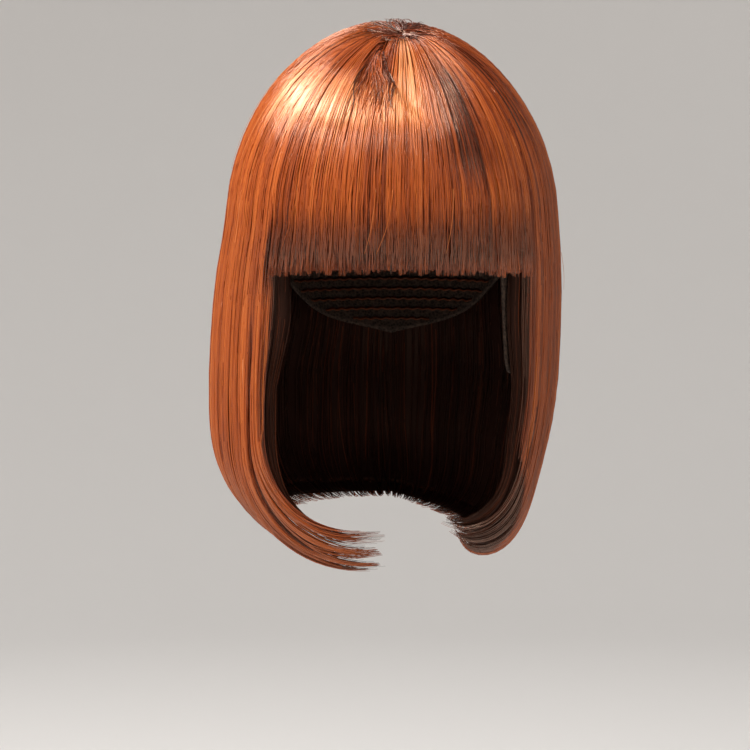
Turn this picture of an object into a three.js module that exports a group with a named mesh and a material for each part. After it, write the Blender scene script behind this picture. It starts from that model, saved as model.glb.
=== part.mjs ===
// A chin-length bob wig with a full straight fringe. Its hair is drawn as locks, fused into the sections that
// are sewn to a hollow net cap. Millimetres, +Z up. The wearer's face looks along -Y, and the origin is the
// inside of the cap's crown, where the top of a head touches it.
import * as THREE from "three";

// The hollow of the cap, which is the head that it fits.
const headWidth = 150;
const headLength = 192;
const crownRise = 92; // from the head's widest level up to the crown
const capWall = 1.5;
const clearance = 0.45; // between the cap and the hair on it, where their facets come nearest

// How far the hair stands off the cap.
const hairOverCrown = 19;
const hairOverEars = 16.5;
const hairOverForehead = 11;
const hairOverNape = 15;
const crownPower = 1.92; // the power of the dome's outline: 2 is an ellipse, and less is more peaked

// The hair below the head's widest level.
const hang = 200; // the length that the wall's shares of fall are measured by
const fringeDrop = 35; // of the fringe's cut edge at the temples, before its arch
const fringeArch = 10; // how far the cut rises in the middle of the forehead
const curtainThickness = 13;
const tipThickness = 4;
const curlLength = 88; // of hair that turns under at the ends
const leavesHeadShare = 0.2; // shares of hang: where the inside of the hair leaves the head
const hangsFreeShare = 0.48; // and where it has the curtain's own thickness

// The point that the hair grows out from, and the tuft there.
const whorlRight = 5;
const whorlForward = 28;
const whorlDimple = 4;
const whorlRadius = 14;
const whorlRelief = 0.6;
const crownGap = 0.4; // between the tuft and the sections round it

// The cap's edge, and the seam where its crown is sewn to the band below it.
const napeDrop = 160; // from the crown down to the edge at the nape
const seamShare = 0.6;
const seamGap = 0.3;

// Relief of the locks. A valley lies between each lock and the next.
const valleyDepth = 2.4;
const valleyAtTipsShare = 0.4; // a share of valleyDepth
const fringeNotch = 4;
const curtainNotch = 9;

// Places along a lock, as shares of its stretches: 0 to 1 is the dome from the whorl, 1 to 2 the hanging wall,
// and 2 to 3 the curl.
const domeEndShare = 1;
const wallEndShare = 2;
const curlEndShare = 3;
const hairlineShare = 0.85; // where the rows of the under layer begin
const underEndShare = 2.75;
const valleysFullShare = 1.2; // where the valleys have their full depth
const domeStations = [0.2, 0.3, 0.42, 0.56, 0.7, hairlineShare, domeEndShare];
const hangingStations = [1.12, 1.24, 1.38, 1.68, wallEndShare, 2.2, 2.4, 2.6, underEndShare, 2.88, curlEndShare];
const stations = [...domeStations, ...hangingStations];

// The hanging wall's outline, as shares of the dome's own half width and half length. fall is a share of hang.
const outline = [
  { fall: 0, left: 1, right: 1, front: 1, back: 1 },
  { fall: 0.05, left: 1.025, right: 1.01, front: 0.98, back: 1.005 },
  { fall: 0.1, left: 1.045, right: 1.018, front: 0.95, back: 1.008 },
  { fall: 0.16, left: 1.065, right: 1.022, front: 0.905, back: 1.005 },
  { fall: 0.25, left: 1.085, right: 1.02, front: 0.885, back: 0.995 },
  { fall: 0.4, left: 1.105, right: 1.01, front: 0.88, back: 0.97 },
  { fall: 0.52, left: 1.107, right: 0.985, front: 0.88, back: 0.945 },
  { fall: 0.65, left: 1.09, right: 0.928, front: 0.88, back: 0.92 },
  { fall: 0.8, left: 1.05, right: 0.84, front: 0.88, back: 0.9 },
];

// The head below its widest level, as shares of its half width and half length.
const headTaper = [
  { fall: 0, side: 1, front: 1, back: 1 },
  { fall: 0.15, side: 0.985, front: 0.968, back: 0.965 },
  { fall: 0.34, side: 0.95, front: 0.9, back: 0.8 },
  { fall: 0.6, side: 0.9, front: 0.85, back: 0.72 },
];

// The cap's edge round one side, from the forehead past the ear tab to the nape. drop is a share of napeDrop.
const capEdge = [
  { around: 0, drop: 0.36 },
  { around: 34, drop: 0.4 },
  { around: 48, drop: 0.53 },
  { around: 54, drop: 0.82 },
  { around: 61, drop: 1.05 },
  { around: 71, drop: 1.06 },
  { around: 79, drop: 0.84 },
  { around: 92, drop: 0.69 },
  { around: 115, drop: 0.74 },
  { around: 145, drop: 0.92 },
  { around: 180, drop: 1 },
];

// How the ends turn under, round each side from the front edge to the nape. start is a share of hang, length a
// share of curlLength, turn and heading are degrees, and grip says how late the turn comes. A heading of 90
// points the ends straight across, towards the other side.
const leftCurl = [
  { around: 45, start: 0.545, length: 1.02, turn: 97, heading: 94, grip: 1.2 },
  { around: 54, start: 0.62, length: 1.3, turn: 98, heading: 92, grip: 1 },
  { around: 62, start: 0.58, length: 1.08, turn: 89, heading: 92, grip: 1.3 },
  { around: 90, start: 0.52, length: 0.96, turn: 88, heading: 90, grip: 1.55 },
  { around: 130, start: 0.56, length: 0.9, turn: 100, heading: 50, grip: 1.5 },
  { around: 180, start: 0.61, length: 0.84, turn: 108, heading: 0, grip: 1.2 },
];
const rightCurl = [
  { around: 50, start: 0.56, length: 0.84, turn: 100, heading: 96, grip: 1.4 },
  { around: 62, start: 0.62, length: 0.9, turn: 130, heading: 96, grip: 2.2 },
  { around: 90, start: 0.7, length: 0.92, turn: 168, heading: 90, grip: 2.8 },
  { around: 130, start: 0.64, length: 0.9, turn: 125, heading: 50, grip: 1.8 },
  { around: 180, start: 0.61, length: 0.84, turn: 108, heading: 0, grip: 1.2 },
];

// The layers of hair. Depth 0 is the outside of the hair and 1 is against the cap.
const outerStart = whorlStart();
const fringeHair = { top: 0, thinned: 1, columnsPerLock: 3, start: outerStart, end: "fringe" };
const outerHair = { top: 0, thinned: 0.5, columnsPerLock: 3, start: outerStart, end: curlEndShare };
const underHair = { top: 0.56, thinned: 1, columnsPerLock: 2, start: hairlineShare, end: underEndShare };

// The partings between the sections, in degrees round the whorl, with 0 at the face and more towards +X.
const partingAngle = 1.6;
const fringeLeftAngle = -45.2;
const lockLeftAngle = -55;
const earLeftAngle = -122;
const fringeRightAngle = 54.5;
const earRightAngle = 122;
const underShiftAngle = 6; // of the under layer's partings towards the face, so that none lies under another
const underLeftAngle = earLeftAngle + underShiftAngle;
const underRightAngle = earRightAngle - underShiftAngle;
const fullTurn = 360;
const sections = [
  { name: "fringe", from: fringeLeftAngle, to: fringeRightAngle, locks: 11, layer: fringeHair },
  { name: "front_lock_left", from: lockLeftAngle, to: fringeLeftAngle, locks: 2, layer: outerHair },
  { name: "side_left", from: earLeftAngle, to: lockLeftAngle, locks: 7, layer: outerHair },
  { name: "side_right", from: fringeRightAngle, to: earRightAngle, locks: 7, layer: outerHair },
  { name: "back", from: earRightAngle, to: fullTurn + earLeftAngle, locks: 9, layer: outerHair },
  { name: "under_left", from: underLeftAngle, to: fringeLeftAngle, locks: 7, layer: underHair },
  { name: "under_right", from: fringeRightAngle, to: underRightAngle, locks: 6, layer: underHair },
  { name: "under_back", from: underRightAngle, to: fullTurn + underLeftAngle, locks: 10, layer: underHair },
];

// How finely the closed rings are divided.
const whorlColumns = 48;
const whorlRows = 3;
const capColumns = 40;
const capCrownRows = 4;
const capBandRows = 6;

const copper = new THREE.MeshStandardMaterial({ color: 0xb4501c, roughness: 0.38, metalness: 0 });
const auburn = new THREE.MeshStandardMaterial({ color: 0x2c130b, roughness: 0.5, metalness: 0 });
const netting = new THREE.MeshStandardMaterial({ color: 0x1c1410, roughness: 0.85, metalness: 0 });

const radians = THREE.MathUtils.degToRad;
const mix = THREE.MathUtils.lerp;
const ease = THREE.MathUtils.smoothstep;

// Reads a column of a table at any place between its rows, as a smooth curve through them.
function lookup(table, key, column, at) {
  const last = table.length - 1;
  const x = THREE.MathUtils.clamp(at, table[0][key], table[last][key]);
  let row = 0;
  while (row < last - 1 && x > table[row + 1][key]) row += 1;
  const slope = (a, b) => (table[b][column] - table[a][column]) / (table[b][key] - table[a][key]);
  const tangent = (k) => slope(Math.max(k - 1, 0), Math.min(k + 1, last));
  const step = table[row + 1][key] - table[row][key];
  const t = (x - table[row][key]) / step;
  const far = 3 * t ** 2 - 2 * t ** 3;
  const rise = mix(table[row][column], table[row + 1][column], far);
  const bend = tangent(row) * (t ** 3 - 2 * t ** 2 + t) + tangent(row + 1) * (t ** 3 - t ** 2);
  return rise + bend * step;
}

// Folds an angle into -180 to 180, so that the back's two halves read their own side's tables.
function signedAround(around) {
  return around > fullTurn / 2 ? around - fullTurn : around;
}

// Where along a lock the whorl's tuft ends, at its radius from the whorl.
function whorlStart() {
  const side = headWidth / 2 + capWall + hairOverEars;
  return Math.asin(whorlRadius / side) / (Math.PI / 2);
}

// How far the hair's inside stands off the cap: the clearance, and the height of the cap over the widest facet.
function fitOverCap() {
  const steps = domeStations.slice(1).map((place, i) => place - domeStations[i]);
  const facet = Math.max(...steps) * Math.PI / 2 * (headLength / 2 + whorlForward / 2);
  const crownRadius = (headLength / 2) ** 2 / crownRise;
  return clearance + facet ** 2 / (8 * crownRadius);
}

// The half axes of a horizontal section of the dome, from the hair's outside at depth 0 to the cap at depth 1.
function domeAxes(depth) {
  const inner = capWall + fitOverCap();
  return {
    side: headWidth / 2 + mix(capWall + hairOverEars, inner, depth),
    front: headLength / 2 + mix(capWall + hairOverForehead, inner, depth),
    back: headLength / 2 + mix(capWall + hairOverNape, inner, depth),
    height: crownRise + mix(capWall + hairOverCrown, inner, depth),
  };
}

function domePoint(around, share, depth) {
  const axes = domeAxes(depth);
  const angle = radians(around);
  const spread = Math.sin(share * Math.PI / 2);
  const length = Math.cos(angle) > 0 ? axes.front : axes.back;
  const x = whorlRight * (1 - spread) + axes.side * spread * Math.sin(angle);
  const y = -whorlForward * (1 - spread) - length * spread * Math.cos(angle);
  const reach = Math.min(1, Math.hypot(x / axes.side, y / (y < 0 ? axes.front : axes.back)));
  const power = mix(crownPower, 2, depth);
  const level = (1 - reach ** power) ** (1 / power);
  const dimple = whorlDimple * (1 - depth) * Math.exp(-((spread * axes.side / whorlRadius) ** 2));
  return new THREE.Vector3(x, y, -crownRise + axes.height * level - dimple);
}

function outerWall(around, fall) {
  const axes = domeAxes(0);
  const angle = radians(around);
  const sideShare = lookup(outline, "fall", Math.sin(angle) < 0 ? "left" : "right", fall);
  const towardsFace = Math.cos(angle) > 0;
  const length = towardsFace ? axes.front : axes.back;
  const lengthShare = lookup(outline, "fall", towardsFace ? "front" : "back", fall);
  return new THREE.Vector3(
    axes.side * sideShare * Math.sin(angle),
    -length * lengthShare * Math.cos(angle),
    -crownRise - fall * hang,
  );
}

// A point on the head's side below its widest level, at an offset out from it.
function headWall(around, fall, offset) {
  const angle = radians(around);
  const lengthShare = lookup(headTaper, "fall", Math.cos(angle) > 0 ? "front" : "back", fall);
  return new THREE.Vector3(
    (headWidth / 2 * lookup(headTaper, "fall", "side", fall) + offset) * Math.sin(angle),
    -(headLength / 2 * lengthShare + offset) * Math.cos(angle),
    -crownRise - fall * hang,
  );
}

function curlOf(around) {
  const read = (column) => lookup(around < 0 ? leftCurl : rightCurl, "around", column, Math.abs(around));
  return {
    start: read("start"),
    length: read("length") * curlLength,
    turn: radians(read("turn")),
    heading: radians(read("heading")) * (around < 0 ? 1 : -1),
    grip: read("grip"),
  };
}

// How far the wall already leans towards the curl's heading where the curl starts.
function wallLean(around, curl) {
  const nudge = 0.01;
  const slope = outerWall(around, curl.start).sub(outerWall(around, curl.start - nudge));
  return Math.atan2(slope.x * Math.sin(curl.heading) - slope.y * Math.cos(curl.heading), -slope.z);
}

// The outside of the hair at a place along the lock. The curl adds up short straight steps that turn under.
function outerPoint(around, place) {
  if (place <= domeEndShare) return domePoint(around, place, 0);
  const curl = curlOf(around);
  if (place <= wallEndShare) return outerWall(around, (place - domeEndShare) * curl.start);
  const point = outerWall(around, curl.start);
  const lean = wallLean(around, curl);
  const share = place - wallEndShare;
  const steps = 24;
  const step = curl.length * share / steps;
  for (let i = 0; i < steps; i += 1) {
    const along = share * (i + 0.5) / steps;
    const angle = mix(lean, curl.turn, along ** curl.grip);
    point.x += step * Math.sin(angle) * Math.sin(curl.heading);
    point.y -= step * Math.sin(angle) * Math.cos(curl.heading);
    point.z -= step * Math.cos(angle);
  }
  return point;
}

// The direction into the hair, square to its outside.
function inward(around, place) {
  const nudge = 0.5;
  const slide = 0.01;
  const middle = THREE.MathUtils.clamp(place, domeStations[0], curlEndShare - slide);
  const across = outerPoint(around + nudge, middle).sub(outerPoint(around - nudge, middle));
  const down = outerPoint(around, middle + slide).sub(outerPoint(around, middle - slide));
  return across.cross(down).normalize();
}

// A point of the hair at a depth between its outside and the cap, or the inside of the curtain.
function hairPoint(around, place, depth, sunk = 0) {
  const side = signedAround(around);
  const into = inward(side, place);
  if (place <= domeEndShare) return domePoint(side, place, depth).addScaledVector(into, sunk);
  const outside = outerPoint(side, place);
  const thickness = mix(curtainThickness, tipThickness, Math.max(0, place - wallEndShare));
  const hanging = outside.clone().addScaledVector(into, thickness);
  const fall = Math.min(place - domeEndShare, 1) * curlOf(side).start;
  const free = place > wallEndShare ? 1 : ease(fall, leavesHeadShare, hangsFreeShare);
  const inside = headWall(side, fall, capWall + fitOverCap()).lerp(hanging, free);
  return outside.clone().lerp(inside, depth).addScaledVector(into, sunk);
}

// A closed body from an outer and an inner grid of points. A strip has two free sides. A ring closes on itself,
// and so does a dome, which has a pole for its first row.
function closedSheet(outer, inner, form = "strip") {
  const ring = form !== "strip";
  const pole = form === "dome";
  const columns = outer.length;
  const rows = outer[0].length;
  const vertices = [];
  const triangles = [];
  [outer, inner].flat(2).forEach((p) => vertices.push(p.x, p.y, p.z));
  const id = (side, i, j) => side * columns * rows + (pole && j === 0 ? 0 : i % columns) * rows + j;
  const triangle = (a, b, c) => {
    if (a !== b && b !== c && c !== a) triangles.push(a, b, c);
  };
  const quad = (a, b, c, d) => {
    triangle(a, b, c);
    triangle(a, c, d);
  };
  const lastColumn = ring ? columns : columns - 1;
  for (let i = 0; i < lastColumn; i += 1) {
    for (let j = 0; j < rows - 1; j += 1) {
      quad(id(0, i, j), id(0, i, j + 1), id(0, i + 1, j + 1), id(0, i + 1, j));
      quad(id(1, i, j), id(1, i + 1, j), id(1, i + 1, j + 1), id(1, i, j + 1));
    }
    quad(id(0, i, rows - 1), id(1, i, rows - 1), id(1, i + 1, rows - 1), id(0, i + 1, rows - 1));
    if (!pole) quad(id(0, i, 0), id(0, i + 1, 0), id(1, i + 1, 0), id(1, i, 0));
  }
  if (!ring) {
    for (let j = 0; j < rows - 1; j += 1) {
      quad(id(0, 0, j), id(1, 0, j), id(1, 0, j + 1), id(0, 0, j + 1));
      quad(id(0, lastColumn, j), id(0, lastColumn, j + 1), id(1, lastColumn, j + 1), id(1, lastColumn, j));
    }
  }
  const geometry = new THREE.BufferGeometry();
  geometry.setAttribute("position", new THREE.Float32BufferAttribute(vertices, 3));
  geometry.setIndex(triangles);
  geometry.computeVertexNormals();
  return geometry;
}

// The places along a lock at which a section has a row of points. The last is where its longest strands end.
function rowsBetween(start, end) {
  const margin = 0.05;
  const between = stations.filter((place) => place > start + margin && place < end - margin);
  return [start, ...between, end];
}

// Where the fringe is cut, as a place along the lock. Its edge arches a little over the face.
function fringeEnd(around) {
  const drop = fringeDrop - fringeArch * Math.cos(radians(around));
  return domeEndShare + drop / (hang * curlOf(around).start);
}

function sectionGeometry({ from, to, locks, layer }) {
  const columns = locks * layer.columnsPerLock;
  const outer = [];
  const inner = [];
  for (let column = 0; column <= columns; column += 1) {
    const around = mix(from + partingAngle / 2, to - partingAngle / 2, column / columns);
    const curl = curlOf(signedAround(around));
    const isFringe = layer === fringeHair;
    const rows = rowsBetween(layer.start, isFringe ? fringeEnd(around) : layer.end);
    const cutShort = isFringe ? fringeNotch / (hang * curl.start) : curtainNotch / curl.length;
    const valley = column % layer.columnsPerLock === 0 ? valleyDepth : 0;
    if (valley > 0) rows[rows.length - 1] -= cutShort;
    const kept = (place) => mix(1, valleyAtTipsShare, ease(place, wallEndShare, curlEndShare));
    const sunk = (place) => valley * ease(place, layer.start, valleysFullShare) * kept(place);
    const bottom = (place) => (place < hairlineShare ? 1 : layer.thinned);
    outer.push(rows.map((place) => hairPoint(around, place, layer.top, sunk(place))));
    inner.push(rows.map((place) => hairPoint(around, place, bottom(place))));
  }
  return closedSheet(outer, inner);
}

// The tuft at the whorl, where all the sections' locks begin.
function whorlGeometry() {
  const end = outerStart * (1 - crownGap / whorlRadius);
  const rows = Array.from({ length: whorlRows + 1 }, (_, row) => row / whorlRows);
  const outer = [];
  const inner = [];
  for (let column = 0; column < whorlColumns; column += 1) {
    const around = fullTurn * column / whorlColumns - fullTurn / 2;
    const relief = column % outerHair.columnsPerLock === 0 ? whorlRelief : 0;
    const up = new THREE.Vector3(0, 0, 1);
    outer.push(rows.map((share) => domePoint(around, share * end, 0).addScaledVector(up, -relief * share)));
    inner.push(rows.map((share) => domePoint(around, share * end, 1)));
  }
  return closedSheet(outer, inner, "dome");
}

// The place of the cap's edge, as on the hair: 0 at the crown and 1 at the head's widest level.
function capEdgePlace(around) {
  const drop = lookup(capEdge, "around", "drop", Math.abs(around)) * napeDrop;
  return drop < crownRise ? Math.acos(1 - drop / crownRise) / (Math.PI / 2) : drop / crownRise;
}

function capPoint(around, place, offset) {
  if (place > 1) return headWall(around, (place - 1) * crownRise / hang, offset);
  const spread = Math.sin(place * Math.PI / 2);
  const angle = radians(around);
  return new THREE.Vector3(
    (headWidth / 2 + offset) * spread * Math.sin(angle),
    -(headLength / 2 + offset) * spread * Math.cos(angle),
    -crownRise + (crownRise + offset) * Math.cos(place * Math.PI / 2),
  );
}

// A panel of the cap between two places. Its end is a function of the angle round the cap.
function capGeometry(start, end, rows, form) {
  const outer = [];
  const inner = [];
  for (let column = 0; column < capColumns; column += 1) {
    const around = fullTurn * column / capColumns - fullTurn / 2;
    const places = Array.from({ length: rows + 1 }, (_, row) => mix(start, end(around), row / rows));
    outer.push(places.map((place) => capPoint(around, place, capWall)));
    inner.push(places.map((place) => capPoint(around, place, 0)));
  }
  return closedSheet(outer, inner, form);
}

function named(name, geometry, material) {
  const mesh = new THREE.Mesh(geometry, material);
  mesh.name = name;
  return mesh;
}

const wig = new THREE.Group();
const halfGap = seamGap / (Math.PI * headWidth / 2);
const crownPanel = capGeometry(0, () => seamShare - halfGap, capCrownRows, "dome");
const bandPanel = capGeometry(seamShare + halfGap, capEdgePlace, capBandRows, "ring");
wig.add(named("cap_crown", crownPanel, netting));
wig.add(named("cap_band", bandPanel, netting));
wig.add(named("whorl_tuft", whorlGeometry(), copper));
for (const section of sections) {
  wig.add(named(section.name, sectionGeometry(section), section.layer === underHair ? auburn : copper));
}

export default wig;
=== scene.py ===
# A chin-length bob wig with a full straight fringe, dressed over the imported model: fine strands on smooth
# bodies of hair, in the sections that are sewn to a hollow net cap. Lengths are in millimetres until a mesh
# is made. The wearer's face looks along -Y, and the origin is the inside of the cap's crown.
import math
from collections import namedtuple

import bpy
import numpy as np
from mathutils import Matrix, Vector


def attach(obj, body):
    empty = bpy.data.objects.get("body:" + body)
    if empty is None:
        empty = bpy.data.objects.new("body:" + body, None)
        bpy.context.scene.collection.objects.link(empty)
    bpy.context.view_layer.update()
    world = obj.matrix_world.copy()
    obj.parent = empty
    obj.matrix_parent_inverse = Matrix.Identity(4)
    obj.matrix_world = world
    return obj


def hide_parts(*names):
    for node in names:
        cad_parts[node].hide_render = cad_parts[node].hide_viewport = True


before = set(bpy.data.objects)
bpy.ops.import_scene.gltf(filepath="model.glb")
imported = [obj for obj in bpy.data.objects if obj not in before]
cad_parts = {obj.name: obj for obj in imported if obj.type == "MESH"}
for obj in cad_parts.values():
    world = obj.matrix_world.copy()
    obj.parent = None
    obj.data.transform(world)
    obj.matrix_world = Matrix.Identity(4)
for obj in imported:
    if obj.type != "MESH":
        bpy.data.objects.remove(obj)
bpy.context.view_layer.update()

MILLIMETRE = 0.001

# Sizes of the part's source. A place along the hair goes over the dome to 1, down the hanging wall to 2 and
# round the curl to 3.
HEAD_WIDTH = 150
HEAD_LENGTH = 192
CROWN_RISE = 92
CAP_WALL = 1.5
CLEARANCE = 0.45
OVER_CROWN = 19
OVER_EARS = 16.5
OVER_FOREHEAD = 11
OVER_NAPE = 15
CROWN_POWER = 1.92
HANG = 200
FRINGE_DROP = 35
FRINGE_ARCH = 10
CURTAIN_THICKNESS = 13
TIP_THICKNESS = 4
CURL_LENGTH = 88
LEAVES_HEAD = 0.2
HANGS_FREE = 0.48
WHORL_RIGHT = 5
WHORL_FORWARD = 28
WHORL_DIMPLE = 4
WHORL_RADIUS = 14
NAPE_DROP = 160
WIDEST_DOME_STEP = 0.15
HAIRLINE = 0.85
UNDER_END = 2.75
LAST_PLACE = 3.0

# Where the sections of hair meet, in degrees round the whorl from straight ahead, towards the viewer's right.
LOCK_LEFT = -55
FRINGE_LEFT = -45.2
FRINGE_RIGHT = 54.5
BACK_FROM = 122

# The hair's outline by the share of HANG fallen, in shares of the dome's half width and half length.
OUTLINE = {
    "fall": [0, 0.05, 0.1, 0.16, 0.25, 0.4, 0.52, 0.65, 0.8],
    "left": [1, 1.025, 1.045, 1.065, 1.085, 1.105, 1.107, 1.09, 1.05],
    "right": [1, 1.01, 1.018, 1.022, 1.02, 1.01, 0.985, 0.928, 0.84],
    "front": [1, 0.98, 0.95, 0.905, 0.885, 0.88, 0.88, 0.88, 0.88],
    "back": [1, 1.005, 1.008, 1.005, 0.995, 0.97, 0.945, 0.92, 0.9],
}
# The head below its widest level, in the same way.
HEAD_TAPER = {
    "fall": [0, 0.15, 0.34, 0.6],
    "side": [1, 0.985, 0.95, 0.9],
    "front": [1, 0.968, 0.9, 0.85],
    "back": [1, 0.965, 0.8, 0.72],
}
# The cap's edge: its drop below the crown as a share of NAPE_DROP, by degrees from straight ahead.
CAP_EDGE = {
    "around": [0, 34, 48, 54, 61, 71, 79, 92, 115, 145, 180],
    "drop": [0.36, 0.4, 0.53, 0.82, 1.05, 1.06, 0.84, 0.69, 0.74, 0.92, 1],
}
# The curl at the hair's foot, by degrees from straight ahead. It starts at a share of HANG, its length is a
# share of CURL_LENGTH, turn and heading are in degrees, and grip delays the turn.
LEFT_CURL = {
    "around": [45, 54, 62, 90, 130, 180],
    "start": [0.545, 0.62, 0.58, 0.52, 0.56, 0.61],
    "length": [1.02, 1.3, 1.08, 0.96, 0.9, 0.84],
    "turn": [97, 98, 89, 88, 100, 108],
    "heading": [94, 92, 92, 90, 50, 0],
    "grip": [1.2, 1, 1.3, 1.55, 1.5, 1.2],
}
RIGHT_CURL = {
    "around": [50, 62, 90, 130, 180],
    "start": [0.56, 0.62, 0.7, 0.64, 0.61],
    "length": [0.84, 0.9, 0.92, 0.9, 0.84],
    "turn": [100, 130, 168, 125, 108],
    "heading": [96, 96, 90, 50, 0],
    "grip": [1.4, 2.2, 2.8, 1.8, 1.2],
}


def mix(a, b, share):
    return a + (b - a) * share


def ease(x, low, high):
    """Smooth step from 0 at low to 1 at high."""
    t = np.clip((x - low) / (high - low), 0, 1)
    return t * t * (3 - 2 * t)


def lookup(table, key, column, at):
    """Reads a table's column at any place between its rows, as a smooth curve through them."""
    keys = np.array(table[key], float)
    values = np.array(table[column], float)
    last = len(keys) - 1
    x = np.clip(at, keys[0], keys[last])
    row = np.clip(np.searchsorted(keys, x) - 1, 0, last - 1)
    before = np.maximum(np.arange(last + 1) - 1, 0)
    after = np.minimum(np.arange(last + 1) + 1, last)
    tangent = (values[after] - values[before]) / (keys[after] - keys[before])
    step = keys[row + 1] - keys[row]
    t = (x - keys[row]) / step
    rise = mix(values[row], values[row + 1], 3 * t ** 2 - 2 * t ** 3)
    bend = tangent[row] * (t ** 3 - 2 * t ** 2 + t) + tangent[row + 1] * (t ** 3 - t ** 2)
    return rise + bend * step


def points(x, y, z):
    return np.stack(np.broadcast_arrays(x, y, z), axis=-1).astype(float)


def unit(vectors):
    return vectors / np.maximum(np.linalg.norm(vectors, axis=-1, keepdims=True), 1e-9)


# The forms of the part's source: the dome, the hanging wall, the curl and the head's side. The hair clears
# the cap by CLEARANCE and by the sagitta of the solids' widest facet.
FACET = WIDEST_DOME_STEP * math.pi / 2 * (HEAD_LENGTH / 2 + WHORL_FORWARD / 2)
FIT_OVER_CAP = CLEARANCE + FACET ** 2 / (8 * (HEAD_LENGTH / 2) ** 2 / CROWN_RISE)
INNER_OFFSET = CAP_WALL + FIT_OVER_CAP


def dome_axes(depth):
    return {
        "side": HEAD_WIDTH / 2 + mix(CAP_WALL + OVER_EARS, INNER_OFFSET, depth),
        "front": HEAD_LENGTH / 2 + mix(CAP_WALL + OVER_FOREHEAD, INNER_OFFSET, depth),
        "back": HEAD_LENGTH / 2 + mix(CAP_WALL + OVER_NAPE, INNER_OFFSET, depth),
        "height": CROWN_RISE + mix(CAP_WALL + OVER_CROWN, INNER_OFFSET, depth),
    }


def dome_point(around, share, depth):
    axes = dome_axes(depth)
    angle = np.radians(around)
    spread = np.sin(share * math.pi / 2)
    length = np.where(np.cos(angle) > 0, axes["front"], axes["back"])
    x = WHORL_RIGHT * (1 - spread) + axes["side"] * spread * np.sin(angle)
    y = -WHORL_FORWARD * (1 - spread) - length * spread * np.cos(angle)
    reach = np.minimum(1, np.hypot(x / axes["side"], y / np.where(y < 0, axes["front"], axes["back"])))
    power = mix(CROWN_POWER, 2, depth)
    level = (1 - reach ** power) ** (1 / power)
    dimple = WHORL_DIMPLE * (1 - depth) * np.exp(-((spread * axes["side"] / WHORL_RADIUS) ** 2))
    return points(x, y, -CROWN_RISE + axes["height"] * level - dimple)


def outer_wall(around, fall):
    axes = dome_axes(0)
    angle = np.radians(around)
    side_share = np.where(
        np.sin(angle) < 0, lookup(OUTLINE, "fall", "left", fall), lookup(OUTLINE, "fall", "right", fall))
    towards_face = np.cos(angle) > 0
    length_share = np.where(
        towards_face, lookup(OUTLINE, "fall", "front", fall), lookup(OUTLINE, "fall", "back", fall))
    length = np.where(towards_face, axes["front"], axes["back"])
    return points(
        axes["side"] * side_share * np.sin(angle),
        -length * length_share * np.cos(angle),
        -CROWN_RISE - fall * HANG)


def head_wall(around, fall, offset):
    angle = np.radians(around)
    front = lookup(HEAD_TAPER, "fall", "front", fall)
    back = lookup(HEAD_TAPER, "fall", "back", fall)
    length_share = np.where(np.cos(angle) > 0, front, back)
    side = HEAD_WIDTH / 2 * lookup(HEAD_TAPER, "fall", "side", fall) + offset
    return points(
        side * np.sin(angle),
        -(HEAD_LENGTH / 2 * length_share + offset) * np.cos(angle),
        -CROWN_RISE - fall * HANG)


def curl_of(around, column):
    left = lookup(LEFT_CURL, "around", column, np.abs(around))
    right = lookup(RIGHT_CURL, "around", column, np.abs(around))
    return np.where(around < 0, left, right)


# The hair's outside and inside on a grid of degrees round the whorl and places along a lock.
PLACE_STEP = 0.02
AROUND = np.arange(-180.0, 181.0)
PLACE = np.arange(0, LAST_PLACE + PLACE_STEP / 2, PLACE_STEP)


def outer_grid():
    around = AROUND[:, None]
    place = PLACE[None, :]
    start = curl_of(around, "start")
    heading = np.radians(curl_of(around, "heading")) * np.where(around < 0, 1, -1)
    dome = dome_point(around, np.minimum(place, 1), 0)
    wall = outer_wall(around, np.clip(place - 1, 0, 1) * start)
    nudge = 0.01
    slope = outer_wall(around, start) - outer_wall(around, start - nudge)
    lean = np.arctan2(
        slope[..., 0] * np.sin(heading) - slope[..., 1] * np.cos(heading), -slope[..., 2])
    parts = 6
    curl_steps = round(1 / PLACE_STEP)
    fine = (np.arange(curl_steps * parts) + 0.5) * PLACE_STEP / parts
    angle = mix(lean, np.radians(curl_of(around, "turn")), fine[None, :] ** curl_of(around, "grip"))
    step = curl_of(around, "length") * CURL_LENGTH * PLACE_STEP / parts
    moved = points(
        step * np.sin(angle) * np.sin(heading),
        -step * np.sin(angle) * np.cos(heading),
        -step * np.cos(angle))
    total = np.cumsum(moved, axis=1)[:, parts - 1::parts]
    grid = np.where((place <= 1)[..., None], dome, wall)
    turning = len(PLACE) - curl_steps
    grid[:, turning:] = grid[:, turning - 1:turning] + total
    return grid


def inner_grid(outer):
    around = AROUND[:, None]
    place = PLACE[None, :]
    across = np.gradient(outer, axis=0)
    down = np.gradient(outer, axis=1)
    into = unit(np.cross(across, down))
    thickness = mix(CURTAIN_THICKNESS, TIP_THICKNESS, np.maximum(0, place - 2))
    hanging = outer + into * thickness[..., None]
    fall = np.clip(place - 1, 0, 1) * curl_of(around, "start")
    free = np.where(place > 2, 1, ease(fall, LEAVES_HEAD, HANGS_FREE))[..., None]
    below = mix(head_wall(around, fall, INNER_OFFSET), hanging, free)
    return np.where((place <= 1)[..., None], dome_point(around, np.minimum(place, 1), 1), below)


OUTER = outer_grid()
INNER = inner_grid(OUTER)


def read_grid(grid, around, place):
    """The grid's points between its nodes. Angles past half a turn fold back to the other side."""
    column = np.mod(around + 180, 360)
    i = np.minimum(column.astype(int), len(AROUND) - 2)
    row = np.clip(place, 0, LAST_PLACE) / PLACE_STEP
    j = np.minimum(row.astype(int), len(PLACE) - 2)
    s = (column - i)[..., None]
    t = (row - j)[..., None]
    return mix(mix(grid[i, j], grid[i + 1, j], s), mix(grid[i, j + 1], grid[i + 1, j + 1], s), t)


TIP_STEP = 0.1


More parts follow.
